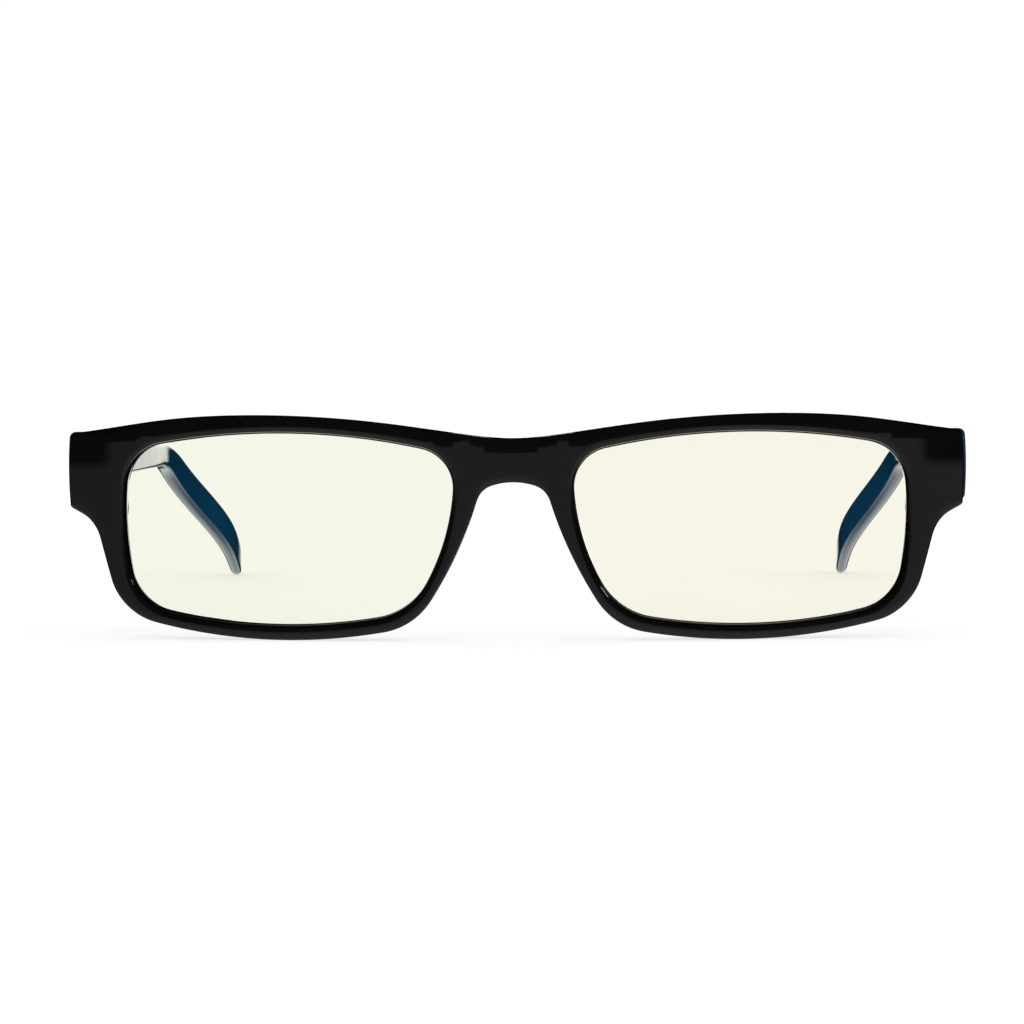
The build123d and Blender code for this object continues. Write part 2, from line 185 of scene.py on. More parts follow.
def fillet_between(first, second, corner, radius):
    """Centre of the fillet between two sides, and its tangent points on them."""
    (centre_a, radius_a), (centre_b, radius_b) = first, second
    reach_a, reach_b = abs(radius_a - radius), abs(radius_b - radius)
    gap = centre_b - centre_a
    distance = np.linalg.norm(gap)
    along = (distance**2 + reach_a**2 - reach_b**2) / (2 * distance)
    across = math.sqrt(max(reach_a**2 - along**2, 0.0))
    unit = gap / distance
    normal = np.array((-unit[1], unit[0]))
    meetings = [centre_a + along * unit + sign * across * normal for sign in (-1, 1)]
    centre = min(meetings, key=lambda point: np.linalg.norm(point - np.array(corner)))
    on_a = centre_a + (centre - centre_a) * radius_a / (radius_a - radius)
    on_b = centre_b + (centre - centre_b) * radius_b / (radius_b - radius)
    return centre, on_a, on_b


def arc_samples(centre, radius, start, end, spacing):
    """Points from start up to, but not at, end round a centre, with normals on the material's side."""
    angle = math.atan2(*(start - centre)[::-1])
    turn = math.atan2(*(end - centre)[::-1]) - angle
    turn = (turn + math.pi) % (2 * math.pi) - math.pi
    count = max(int(abs(turn * radius) / spacing), int(abs(turn) / math.radians(5)), 2)
    angles = angle + turn * np.arange(count) / count
    points = centre + abs(radius) * np.column_stack((np.cos(angles), np.sin(angles)))
    return points, (centre - points) / radius


def rounded_path(points, sagittas, fillets, closed=False, spacing=0.7):
    """Arc sides through the points, with a fillet at each inner point (at every point if closed)."""
    count = len(points)
    ends = points[1:] + points[:1] if closed else points[1:]
    circles = [side_circle(a, b, s) for a, b, s in zip(points, ends, sagittas)]
    corners = range(count) if closed else range(1, count - 1)
    rounds = {}
    for i, radius in zip(corners, fillets):
        rounds[i] = (radius, *fillet_between(circles[i - 1], circles[i], points[i], radius))
    samples = []
    for i, (centre, radius) in enumerate(circles):
        after = (i + 1) % count
        start = rounds[i][3] if i in rounds else np.array(points[i], float)
        end = rounds[after][2] if after in rounds else np.array(ends[i], float)
        samples.append(arc_samples(centre, radius, start, end, spacing))
        if after in rounds:
            fillet, middle, on_a, on_b = rounds[after]
            samples.append(arc_samples(middle, fillet, on_a, on_b, spacing))
    return np.vstack([p for p, _ in samples]), np.vstack([n for _, n in samples])


def clamped_spline(knots, start_slope, end_slope):
    """Smooth curve through knots (t, value) with given end slopes, as a function of t."""
    t, value = np.array(knots, float).T
    step = np.diff(t)
    slope = np.diff(value) / step
    matrix = np.diag(np.concatenate(([2 * step[0]], 2 * (step[:-1] + step[1:]), [2 * step[-1]])))
    matrix += np.diag(step, 1) + np.diag(step, -1)
    rises = np.concatenate(([start_slope], slope, [end_slope]))
    bend = np.linalg.solve(matrix, 6 * np.diff(rises))

    def curve(at):
        at = np.asarray(at, float)
        i = np.clip(np.searchsorted(t, at) - 1, 0, len(step) - 1)
        before, after = at - t[i], t[i + 1] - at
        arch = bend[i] * after**3 / (6 * step[i]) + bend[i + 1] * before**3 / (6 * step[i])
        line = (value[i] / step[i] - bend[i] * step[i] / 6) * after
        return arch + line + (value[i + 1] / step[i] - bend[i + 1] * step[i] / 6) * before

    return curve


def end_sloped_spline(knots):
    """Spline through knots whose end slopes are those of its first and last chord."""
    (t0, v0), (t1, v1) = knots[:2]
    (t2, v2), (t3, v3) = knots[-2:]
    return clamped_spline(knots, (v1 - v0) / (t1 - t0), (v3 - v2) / (t3 - t2))


def front_outline():
    """Closed outline of the front, with normals: the top edge's curve, then arcs, then the mirror half."""
    top = clamped_spline(TOP_EDGE, 0.0, TOP_END_SLOPE)
    corner = TOP_EDGE[-1]
    lead = corner[0] - TOP_EDGE_STOP
    x = np.linspace(0, lead, int(lead / OUTLINE_SPACING), endpoint=False)
    nudge = 0.01
    tangents = np.column_stack((np.full_like(x, 2 * nudge), top(x + nudge) - top(x - nudge)))
    tangents /= np.linalg.norm(tangents, axis=1)[:, None]
    edge = np.column_stack((x, top(x)))
    edge_normals = np.column_stack((tangents[:, 1], -tangents[:, 0]))
    rise = math.atan2(BRIDGE_UNDERSIDE - BRIDGE_CORNER[1], BRIDGE_CORNER[0])
    underside_sagitta = BRIDGE_CORNER[0] / math.cos(rise) / 2 * math.tan(rise / 2)
    points, normals = rounded_path(
        [
            (lead, float(top(lead))),
            corner,
            END_PIECE_BOTTOM,
            ARMPIT,
            RIM_OUTER_CORNER,
            RIM_INNER_CORNER,
            BRIDGE_CORNER,
            (0.0, BRIDGE_UNDERSIDE),
        ],
        [STRAIGHT, END_PIECE_SAGITTA, STRAIGHT, *RIM_SAGITTAS, -underside_sagitta],
        [*END_PIECE_FILLETS, *RIM_FILLETS],
    )
    half = np.vstack((edge, points))
    half_normals = np.vstack((edge_normals, normals))
    mirror = np.array((-1, 1))
    middle = np.array([(0.0, BRIDGE_UNDERSIDE)])
    outline = np.vstack((half, middle, half[:0:-1] * mirror))
    outline_normals = np.vstack((half_normals, [(0.0, 1.0)], half_normals[:0:-1] * mirror))
    return outline, outline_normals


def aperture_outline(side):
    """Closed outline of one aperture, with normals that point into the opening."""
    corners = [corner for corner, _, _ in APERTURE]
    sagittas = [sagitta for _, _, sagitta in APERTURE]
    fillets = [fillet for _, fillet, _ in APERTURE]
    points, normals = rounded_path(corners, sagittas, fillets, closed=True)
    if side < 0:
        mirror = np.array((-1, 1))
        points, normals = points[::-1] * mirror, normals[::-1] * mirror
    return points, normals


# ---------------------------------------------------------------- depths (y of a front view point)


def smooth_step(value, low, high):
    """0 below low, 1 above high, and an even S between."""
    t = np.clip((value - low) / (high - low), 0, 1)
    return t * t * (3 - 2 * t)


def hump(x, z, centre, reach):
    """Round soft hill of height 1 about a centre."""
    return np.exp(-(((x - centre[0]) / reach[0]) ** 2) - ((z - centre[1]) / reach[1]) ** 2)


def front_surface(p):
    """Front face: a cylinder whose end pieces lean back, with a dimple on the bridge."""
    x, z = np.abs(p[:, 0]), p[:, 1]
    y = FRONT + FRONT_RADIUS - np.sqrt(FRONT_RADIUS**2 - x**2)
    lean = END_LEAN_BEND * np.log1p(np.exp((z - END_LEAN_Z) / END_LEAN_BEND))
    y = y + END_LEAN_SLOPE * lean * smooth_step(x, END_LEAN_START, END_LEAN_FULL)
    return y + DIMPLE_DEPTH * hump(x, z, DIMPLE_PLACE, DIMPLE_REACH)


def back_surface(p):
    """Back of the front: the shell, the deeper end pieces and the nose pads, whichever is furthest back."""
    x, z = np.abs(p[:, 0]), p[:, 1]
    inner_radius = FRONT_RADIUS - FRONT_THICKNESS
    shell = FRONT + FRONT_RADIUS - np.sqrt(inner_radius**2 - x**2)
    ramp_foot = FRONT + FRONT_RADIUS - math.sqrt(inner_radius**2 - RAMP_START**2)
    plan = ramp_foot + (BUTT - ramp_foot) * np.clip((x - RAMP_START) / (RAMP_END - RAMP_START), 0, 1)
    plan = np.where(x < RAMP_START, FRONT, plan)
    gusset = FRONT + (BUTT - FRONT) * (z - GUSSET_FOOT) / (GUSSET_BACK - GUSSET_FOOT)
    half_pad = (PAD_TOP - PAD_BOTTOM) / 2
    pad_rise = PAD_DEPTH + PAD_ROOT
    pad_radius = (half_pad**2 + pad_rise**2) / (2 * pad_rise)
    pad_centre = FRONT + FRONT_THICKNESS + PAD_DEPTH - pad_radius
    height = z - (PAD_TOP + PAD_BOTTOM) / 2
    pad = pad_centre + np.sqrt(np.clip(pad_radius**2 - height**2, 0, None))
    pad = pad - PAD_FADE_DEPTH * smooth_step(x, PAD_FADE_START, PAD_FADE_END)
    pad = np.where(x < PAD_END, pad, FRONT)
    gap = np.clip((pad - shell) / PAD_BLEND, -1, 1)
    fillet = np.where(x < PAD_END, PAD_BLEND / 4 * (1 - np.abs(gap)) ** 2, 0)
    return np.maximum(np.maximum(shell, pad) + fillet, np.minimum(plan, gusset))


def lens_front(p):
    """Front of the lenses: a sphere."""
    return FRONT + FRONT_RADIUS - np.sqrt(LENS_RADIUS**2 - p[:, 0] ** 2 - (p[:, 1] - LENS_MID_HEIGHT) ** 2)


def lens_back(p):
    """Back of the lenses: a sphere about the same centre."""
    radius = LENS_RADIUS - LENS_THICKNESS
    return FRONT + FRONT_RADIUS - np.sqrt(radius**2 - p[:, 0] ** 2 - (p[:, 1] - LENS_MID_HEIGHT) ** 2)


# ---------------------------------------------------------------- surfaces


def lift(points, depth):
    """Front view points as 3-D points, each at its own depth."""
    return np.column_stack((points[:, 0], depth, points[:, 1]))


def inside(points, loop):
    """True for each point inside a closed loop."""
    x, z = points[:, 0][:, None], points[:, 1][:, None]
    x0, z0 = loop[:, 0], loop[:, 1]
    x1, z1 = np.roll(x0, -1), np.roll(z0, -1)
    crosses = (z0 > z) != (z1 > z)
    with np.errstate(divide="ignore", invalid="ignore"):
        at = x0 + (z - z0) * (x1 - x0) / (z1 - z0)
    return np.sum(crosses & (x < at), axis=1) % 2 == 1


def fill(outer, holes, depth, spacing):
    """Triangles between an outer loop and its holes, with inner points that follow the depth function."""
    loops = [outer, *holes]
    low, high = outer.min(0), outer.max(0)
    gx, gz = np.meshgrid(np.arange(low[0], high[0], spacing), np.arange(low[1], high[1], spacing))
    gx[1::2] += spacing / 2
    grid = np.column_stack((gx.ravel(), gz.ravel()))
    keep = inside(grid, outer)
    for hole in holes:
        keep &= ~inside(grid, hole)
    grid = grid[keep]
    edge = np.vstack(loops)
    nearest = np.full(len(grid), np.inf)
    for start in range(0, len(edge), 200):
        gaps = np.linalg.norm(grid[:, None] - edge[None, start : start + 200], axis=2)
        nearest = np.minimum(nearest, gaps.min(1))
    grid = grid[nearest > spacing * 0.6]
    points = np.vstack((edge, grid))
    edges = []
    first = 0
    for loop in loops:
        count = len(loop)
        edges += [(first + i, first + (i + 1) % count) for i in range(count)]
        first += count
    flat, _, triangles, *_ = delaunay_2d_cdt([Vector(p) for p in points], edges, [], 0, 1e-5)
    flat = np.array([tuple(v) for v in flat])
    centres = np.array([flat[list(t)].mean(0) for t in triangles])
    wanted = inside(centres, outer)
    for hole in holes:
        wanted &= ~inside(centres, hole)
    return lift(flat, depth(flat)), [tuple(t) for t, ok in zip(triangles, wanted) if ok]


class Surface:
    """Points and faces of one closed mesh, gathered patch by patch and joined where they meet."""

    def __init__(self):
        self.points, self.faces = [], []

    def patch(self, points, faces):
        first = sum(len(p) for p in self.points)
        self.points.append(np.asarray(points, float))
        self.faces += [tuple(first + i for i in face) for face in faces]

    def rings(self, rings, closed=True):
        """Quads between rings of as many points each."""
        count = len(rings[0])
        steps = range(count if closed else count - 1)
        faces = []
        for k in range(len(rings) - 1):
            a, b = k * count, (k + 1) * count
            faces += [(a + i, a + (i + 1) % count, b + (i + 1) % count, b + i) for i in steps]
        self.patch(np.vstack(rings), faces)

    def cap(self, ring):
        self.patch(ring, [tuple(range(len(ring)))])

    def build(self, name):
        """The mesh object, in metres, with joined patches, outward faces and smooth shading."""
        mesh = bpy.data.meshes.new(name)
        mesh.from_pydata((np.vstack(self.points) * MM).tolist(), [], self.faces)
        work = bmesh.new()
        work.from_mesh(mesh)
        bmesh.ops.remove_doubles(work, verts=work.verts, dist=2e-6)
        bmesh.ops.dissolve_degenerate(work, edges=work.edges, dist=1e-7)
        bmesh.ops.recalc_face_normals(work, faces=work.faces)
        work.to_mesh(mesh)
        work.free()
        mesh.shade_smooth()
        mesh.set_sharp_from_angle(angle=SHARP_ANGLE)
        obj = bpy.data.objects.new(name, mesh)
        bpy.context.scene.collection.objects.link(obj)
        return obj


def mixed_bevel(normals, upper, side, lower):
    """Width, share and squareness of a bevel at each point, by which way its normal points."""
    up = smooth_step(-normals[:, 1], *BEVEL_TURN)[:, None]
    down = smooth_step(normals[:, 1], *BEVEL_TURN)[:, None]
    return up * np.array(upper) + down * np.array(lower) + (1 - up - down) * np.array(side)


def bevel_steps(bevel, count=9):
    """(inset, drop) of each step across a bevel, from the wall to the face."""
    width, share, square = bevel.T
    steps = []
    for angle in np.linspace(0, math.pi / 2, count):
        inset = width * (1 - max(math.cos(angle), 0.0) ** square)
        drop = width * share * (1 - math.sin(angle) ** square)
        steps.append((inset, drop))
    return steps


def brow_bevel(points):
    """Upper bevel along the top edge: one over each lens and a smile-shaped one on the bridge."""
    x = np.abs(points[:, 0])
    width = np.interp(x, *np.array(BROW_WIDTH).T)[:, None]
    brow = np.hstack((width, np.full((len(x), 2), BROW_BEVEL)))
    edge = np.array((BROW_WIDTH[0][1], *SIDE_BEVEL[1:]))
    amount = np.clip(1 - (x / BRIDGE_BEVEL_REACH) ** 2, 0, None)[:, None]
    bridge = edge + (np.array(BRIDGE_BEVEL) - edge) * amount
    return np.where(x[:, None] < BROW_WIDTH[0][0], bridge, brow)


def front_moulding():
    """The front: face, bevels, outer wall with its parting line, grooves for the lenses, and back."""
    surface = Surface()
    outline, normals = front_outline()
    bevel = mixed_bevel(normals, brow_bevel(outline), SIDE_BEVEL, LOWER_BEVEL)
    rings = []
    for inset, drop in reversed(bevel_steps(bevel)):
        place = outline + normals * inset[:, None]
        rings.append(lift(place, front_surface(place) + drop))
    face_outer = outline + normals * bevel[:, :1]
    wall_front, wall_back = rings[-1][:, 1], back_surface(outline) - BACK_ROUNDING
    seam = wall_front + (wall_back - wall_front) * SEAM_DEPTH
    shrunk = outline + normals * SEAM_HEIGHT
    rings[-1] = lift(shrunk, wall_front)
    rings += [lift(shrunk, seam - SEAM_WIDTH), lift(outline, seam), lift(shrunk, seam + SEAM_WIDTH)]
    for angle in np.linspace(0, math.pi / 2, 5):
        inset = SEAM_HEIGHT + BACK_ROUNDING * (1 - math.cos(angle))
        place = outline + normals * inset
        rings.append(lift(place, back_surface(place) - BACK_ROUNDING * (1 - math.sin(angle))))
    back_outer = outline + normals * (SEAM_HEIGHT + BACK_ROUNDING)
    surface.rings(rings)

    face_holes, back_holes = [], []
    for side in SIDES.values():
        loop, inward = aperture_outline(side)
        lip = mixed_bevel(inward, UPPER_LIP, SIDE_LIP, LOWER_LIP)
        rings = []
        for inset, drop in reversed(bevel_steps(lip)):
            place = loop - inward * (LEDGE_WIDTH + inset)[:, None]
            rings.append(lift(place, front_surface(place) + drop))
        face_holes.append(loop - inward * (LEDGE_WIDTH + lip[:, :1]))
        for outset, depth in LEDGE_PROFILE:
            place = loop - inward * outset
            rings.append(lift(place, front_surface(place) + depth))
        lap = loop - inward * (LENS_LAP + GROOVE_CLEARANCE)
        rings.append(lift(loop, lens_front(loop) - GROOVE_CLEARANCE))
        rings.append(lift(lap, lens_front(lap) - GROOVE_CLEARANCE))
        rings.append(lift(lap, lens_back(lap) + GROOVE_CLEARANCE))
        rings.append(lift(loop, lens_back(loop) + GROOVE_CLEARANCE))
        for angle in np.linspace(0, math.pi / 2, 4):
            outset = BACK_ROUNDING / 2 * (1 - math.cos(angle))
            place = loop - inward * outset
            rings.append(lift(place, back_surface(place) - BACK_ROUNDING / 2 * (1 - math.sin(angle))))
        back_holes.append(loop - inward * BACK_ROUNDING / 2)
        surface.rings(rings)

    surface.patch(*fill(face_outer, face_holes, front_surface, FACE_SPACING))
    surface.patch(*fill(back_outer, back_holes, back_surface, BACK_SPACING))
    return surface.build("front_moulding")


def lens(name, side):
    """One lens: two spherical faces and a bevelled edge that sits in the groove."""
    surface = Surface()
    loop, inward = aperture_outline(side)
    rim = loop - inward * LENS_LAP
    shoulder = loop - inward * (LENS_LAP - LENS_BEVEL)
    surface.rings(
        [
            lift(shoulder, lens_front(shoulder)),
            lift(rim, lens_front(rim) + LENS_BEVEL),
            lift(rim, lens_back(rim) - LENS_BEVEL),
            lift(shoulder, lens_back(shoulder)),
        ]
    )
    surface.patch(*fill(shoulder, [], lens_front, LENS_SPACING))
    surface.patch(*fill(shoulder, [], lens_back, LENS_SPACING))
    return surface.build(name)


def temple_edges():
    """Heights of a temple's top and bottom edges, as functions of y, from its side view."""
    across = np.array((math.sin(EAR_DROP), math.cos(EAR_DROP)))
    tip = np.array((REAR - TIP_RADIUS, TIP_RADIUS))
    edges = []
    rows = (
        (1, TEMPLE_BUTT_TOP, WAIST_TOP, TOP_FALL, BEND_FILLETS[0]),
        (-1, TEMPLE_BUTT_BOTTOM, WAIST_BOTTOM, BOTTOM_FALL, BEND_FILLETS[1]),
    )
    for sign, butt_height, waist_height, fall, bend_fillet in rows:
        ear = tip + sign * TIP_RADIUS * across
        slope = math.tan(EAR_DROP)
        drop = waist_height - fall * (ear[0] - WAIST_Y) - ear[1]
        bend_y = ear[0] - drop / (slope - fall)
        bend = (bend_y, waist_height - fall * (bend_y - WAIST_Y))
        points, _ = rounded_path(
            [(TEMPLE_BUTT, butt_height), (WAIST_Y, waist_height), bend, tuple(ear)],
            [STRAIGHT] * 3,
            [-sign * WAIST_FILLET, bend_fillet],
        )
        start = math.pi / 2 - EAR_DROP if sign > 0 else -math.pi / 2 - EAR_DROP
        sweep = np.linspace(start, 0, 24)
        end = tip + TIP_RADIUS * np.column_stack((np.cos(sweep), np.sin(sweep)))
        edges.append(np.vstack((points, end)))
    return edges


def edge_height(edge, y):
    """Height of an edge at y."""
    return np.interp(y, edge[:, 0], edge[:, 1])


def temple_section(x_outer, x_inner, bottom, top):
    """Rounded section of a temple with a crowned outer face, as (x, z) points."""
    half = np.array(((x_outer - x_inner) / 2, (top - bottom) / 2))
    centre = np.array(((x_outer + x_inner) / 2, (top + bottom) / 2))
    radius = min(TEMPLE_EDGE, 0.98 * half[0], 0.98 * half[1])
    arcs = []
    for quarter, corner in enumerate(((1, 1), (-1, 1), (-1, -1), (1, -1))):
        angles = math.pi / 2 * (quarter + np.linspace(0, 1, 7))
        circle = np.column_stack((np.cos(angles), np.sin(angles)))
        arcs.append(centre + (half - radius) * corner + radius * circle)
    between = np.linspace(0, 1, 8)[1:-1, None]
    inner_side = arcs[1][-1] + (arcs[2][0] - arcs[1][-1]) * between
    outer_side = arcs[3][-1] + (arcs[0][0] - arcs[3][-1]) * between
    points = np.vstack((arcs[0], arcs[1], inner_side, arcs[2], arcs[3], outer_side))
    share = (points[:, 1] - centre[1]) / half[1]
    outer = points[:, 0] > centre[0]
    points[outer, 0] -= TEMPLE_CROWN * min(1, half[1] / 3) * share[outer] ** 2
    return points


def temple_sections():
    """Sections of a temple from the butt to the tip, for the +X side."""
    outer = end_sloped_spline([(BUTT + y, x) for x, y in TEMPLE_OUTER])
    inner = end_sloped_spline([(BUTT + y, x) for x, y in TEMPLE_INNER])
    top, bottom = temple_edges()
    body = np.arange(TEMPLE_BUTT, REAR - 2 * TIP_RADIUS, 1.0)
    rest = (REAR - body[-1]) * np.sin(np.linspace(0, math.pi / 2, 26)[1:])
    sections = []
    for y in np.concatenate((body, body[-1] + rest)):
        z_top, z_bottom = edge_height(top, y), edge_height(bottom, y)
        x_outer, x_inner = float(outer(y)), float(inner(y))
        near_end = np.clip((y - (REAR - 2 * TIP_RADIUS)) / (2 * TIP_RADIUS), 0, 1)
        shrink = (1 - near_end**3) ** (1 / 3)
        middle, half = (x_outer + x_inner) / 2, (x_outer - x_inner) / 2 * max(shrink, 0.05)
        z_middle, z_half = (z_top + z_bottom) / 2, max((z_top - z_bottom) / 2, 0.05)
        section = temple_section(middle + half, middle - half, z_middle - z_half, z_middle + z_half)
        sections.append(np.column_stack((section[:, 0], np.full(len(section), y), section[:, 1])))
    return sections


def cut_box(obj, low, high):
    """Take a box, given by two corners in millimetres, out of an object's mesh."""
    mesh = bpy.data.meshes.new("cutter")
    work = bmesh.new()
    bmesh.ops.create_cube(work, size=1)
    centre = Vector((low + high) / 2 * MM)
    work.transform(Matrix.Translation(centre) @ Matrix.Diagonal((*(np.abs(high - low) * MM), 1)))
    work.to_mesh(mesh)
    work.free()
    cutter = bpy.data.objects.new("cutter", mesh)
    bpy.context.scene.collection.objects.link(cutter)
    cut = obj.modifiers.new("cut", "BOOLEAN")
    cut.object = cutter
    cut.operation = "DIFFERENCE"
    cut.solver = "EXACT"
    bpy.context.view_layer.update()
    result = bpy.data.meshes.new_from_object(obj.evaluated_get(bpy.context.evaluated_depsgraph_get()))
    obj.modifiers.clear()
    obj.data = result
    bpy.data.objects.remove(cutter)


def temple(name, side):
    """One temple, notched round the knuckles and pocketed for the spring case."""
    surface = Surface()
    sections = [section * (side, 1, 1) for section in temple_sections()]
    surface.rings(sections)
    surface.cap(sections[0])
    surface.cap(sections[-1])
    arm = surface.build(name)
    flip = np.array((side, 1, 1))
    notch_low = np.array((LEAF_LOW[0] - 4, TEMPLE_BUTT - 1, SCREW_LOW[2] - NOTCH_CLEARANCE - 0.5))
    notch_high = np.array((NOTCH_X, CASE_LOW[1], SCREW_HIGH[2] + NOTCH_CLEARANCE))
    case_low = CASE_LOW - (1, 0.5, 0)
    for low, high in ((notch_low, notch_high), (case_low, CASE_HIGH)):
        cut_box(arm, low * flip, high * flip)
    arm.data.shade_smooth()
    arm.data.set_sharp_from_angle(angle=SHARP_ANGLE)
    return arm


# ---------------------------------------------------------------- materials


def new_material(name):
    """A node material and its Principled shader."""
    material = bpy.data.materials.new(name)
    material.use_nodes = True
    return material, material.node_tree.nodes["Principled BSDF"]


def node(material, kind, **settings):
    """A node with the given settings; a setting whose name is an input's sets that input."""
    made = material.node_tree.nodes.new(kind)
    for key, value in settings.items():
        if hasattr(made, key):
            setattr(made, key, value)
        else:
            made.inputs[key.replace("_", " ")].default_value = value
    return made


def link(material, source, target):
    material.node_tree.links.new(source, target)


def noise(material, scale, detail=3.0, stretch=(1, 1, 1)):
    """Noise over the object's own coordinates, in metres, stretched along its axes."""
    place = node(material, "ShaderNodeTexCoord")
    mapping = node(material, "ShaderNodeMapping")
    mapping.inputs["Scale"].default_value = stretch
    link(material, place.outputs["Object"], mapping.inputs["Vector"])
    texture = node(material, "ShaderNodeTexNoise", Scale=scale, Detail=detail)
    link(material, mapping.outputs["Vector"], texture.inputs["Vector"])
    return texture.outputs["Fac"]


def ramp(material, source, low, high, start=0.35, end=0.65):
    """Map a 0 to 1 value to a range."""
    made = node(material, "ShaderNodeMapRange")
    made.interpolation_type = "SMOOTHSTEP"
    for key, value in (("From Min", start), ("From Max", end), ("To Min", low), ("To Max", high)):
        made.inputs[key].default_value = value
    link(material, source, made.inputs["Value"])
    return made.outputs["Result"]


def colour_mix(material, factor, first, second):
    """Colour between two, by a factor."""
    made = node(material, "ShaderNodeMix", data_type="RGBA")
    made.inputs["A"].default_value = (*first, 1)
    made.inputs["B"].default_value = (*second, 1)
    link(material, factor, made.inputs["Factor"])
    return made.outputs["Result"]


def bump(material, shader, source, strength, distance):
    """Relief on a shader's normal."""
    made = node(material, "ShaderNodeBump", Strength=strength, Distance=distance)
    link(material, source, made.inputs["Height"])
    link(material, made.outputs["Normal"], shader.inputs["Normal"])


def polished_plastic(name, dark, light, roughness):
    """Tumbled and polished moulding: slight colour drift, handling haze and a faint orange peel."""
    material, shader = new_material(name)
    shader.inputs["IOR"].default_value = 1.5
    drift = noise(material, 60.0)
    colour = colour_mix(material, ramp(material, drift, 0, 1), dark, light)
    link(material, colour, shader.inputs["Base Color"])
    haze = noise(material, 220.0, 5.0)
    link(material, ramp(material, haze, roughness[0], roughness[1]), shader.inputs["Roughness"])
    bump(material, shader, noise(material, 420.0, 1.0), 0.02, 0.0001)
    return material


def satin_metal(name, dark, light, roughness, stretch):
    """Plated metal with fine drawn or brushed lines."""
    material, shader = new_material(name)
    shader.inputs["Metallic"].default_value = 1.0
    lines = noise(material, 900.0, 4.0, stretch)
    link(material, colour_mix(material, lines, dark, light), shader.inputs["Base Color"])
    link(material, ramp(material, lines, roughness[0], roughness[1]), shader.inputs["Roughness"])
    bump(material, shader, lines, 0.15, 0.00002)
    return material


LENS_GLOSS = 0.01  # share a lens face mirrors when seen squarely
SCHLICK_POWER = 5.0  # how late it rises to all of the light as the view slants
COATING = (0.55, 0.75, 0.6, 1)


def coated_lens(name, tint):
    """Clear lens with a pale tint, mirrored a little by its hard coating."""
    material, shader = new_material(name)
    nodes = material.node_tree.nodes
    nodes.remove(shader)
    clear = node(material, "ShaderNodeBsdfTransparent")
    drift = noise(material, 18.0, 1.0)
    link(material, colour_mix(material, drift, *tint), clear.inputs["Color"])
    gloss = node(material, "ShaderNodeBsdfGlossy")
    gloss.inputs["Color"].default_value = COATING
    haze = noise(material, 150.0, 3.0)
    link(material, ramp(material, haze, 0.02, 0.06), gloss.inputs["Roughness"])
    facing = node(material, "ShaderNodeLayerWeight", Blend=0.5)
    steep = node(material, "ShaderNodeMath", operation="POWER")
    steep.inputs[1].default_value = SCHLICK_POWER
    link(material, facing.outputs["Facing"], steep.inputs[0])
    mirrored = node(material, "ShaderNodeMath", operation="MULTIPLY_ADD")
    mirrored.inputs[1].default_value = 1.0 - LENS_GLOSS
    mirrored.inputs[2].default_value = LENS_GLOSS
    link(material, steep.outputs["Value"], mirrored.inputs[0])
    mix = node(material, "ShaderNodeMixShader")
    link(material, mirrored.outputs["Value"], mix.inputs["Fac"])
    link(material, clear.outputs["BSDF"], mix.inputs[1])
    link(material, gloss.outputs["BSDF"], mix.inputs[2])
    link(material, mix.outputs["Shader"], nodes["Material Output"].inputs["Surface"])
    return material


def dress(obj, material):
    obj.data.materials.clear()
    obj.data.materials.append(material)


# ---------------------------------------------------------------- pieces

black = polished_plastic("polished_black", (0.0012, 0.0012, 0.0015), (0.0022, 0.0022, 0.0026), (0.03, 0.07))
navy = polished_plastic("polished_navy", (0.0002, 0.027, 0.074), (0.0006, 0.033, 0.088), (0.05, 0.1))
nickel = satin_metal("satin_nickel", (0.5, 0.49, 0.46), (0.68, 0.67, 0.64), (0.18, 0.34), (1, 0.15, 1))
screw_steel = satin_metal("turned_steel", (0.55, 0.55, 0.54), (0.75, 0.75, 0.74), (0.14, 0.26), (1, 1, 0.3))
wire_steel = satin_metal("drawn_steel", (0.33, 0.33, 0.34), (0.5, 0.5, 0.52), (0.2, 0.36), (1, 1, 1))
lens_tints = {
    "right": ((0.945, 0.957, 0.888), (0.950, 0.956, 0.892)),
    "left": ((0.952, 0.952, 0.885), (0.958, 0.948, 0.890)),
}

front = front_moulding()
dress(front, black)
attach(front, "front")
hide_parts("front_frame")

for name, side in SIDES.items():
    glass = lens(f"{name}_lens", side)
    dress(glass, coated_lens(f"coated_lens_{name}", lens_tints[name]))
    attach(glass, "front")
    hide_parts(f"lens_{name}")
    arm = temple(f"{name}_temple", side)
    dress(arm, navy)
    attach(arm, f"temple_{name}")
    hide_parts(f"temple_{name}")
    for part in ("hinge_front_leaf", "hinge_tongue", "spring_case", "spring_stop"):
        dress(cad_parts[f"{part}_{name}"], nickel)
    dress(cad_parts[f"hinge_screw_{name}"], screw_steel)
    dress(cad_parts[f"coil_spring_{name}"], wire_steel)


# ---------------------------------------------------------------- floor, light and camera

CAMERA_AZIMUTH = math.radians(1.91)
CAMERA_ELEVATION = math.radians(3.2)
CAMERA_ROLL = math.radians(0.314)
CAMERA_DISTANCE = 0.56
CAMERA_AIM = Vector((-0.00018, FRONT * MM, 0.01998))
FOCAL_LENGTH = 127.8
WHITE = (1.0, 1.0, 1.0, 1)
FLOOR_GREY = (0.3, 0.3, 0.3, 1)
FLOOR_REACH = 6.0
FLOOR_GAP = 0.00002  # how far the floor lies below the glasses
FLOOR_EMISSION = 0.72
SURROUNDINGS = 1.02  # what everything but the gloss sees
# What the gloss sees in front, by height: 0 is straight down, 0.5 level and 1 straight up
MIRRORED_HEIGHTS = (
    (0.0, 0.5),
    (0.36, 0.45),
    (0.44, 0.34),
    (0.472, 0.29),
    (0.485, 0.28),
    (0.5, 0.2),
    (0.53, 0.04),
    (1.0, 0.03),
)


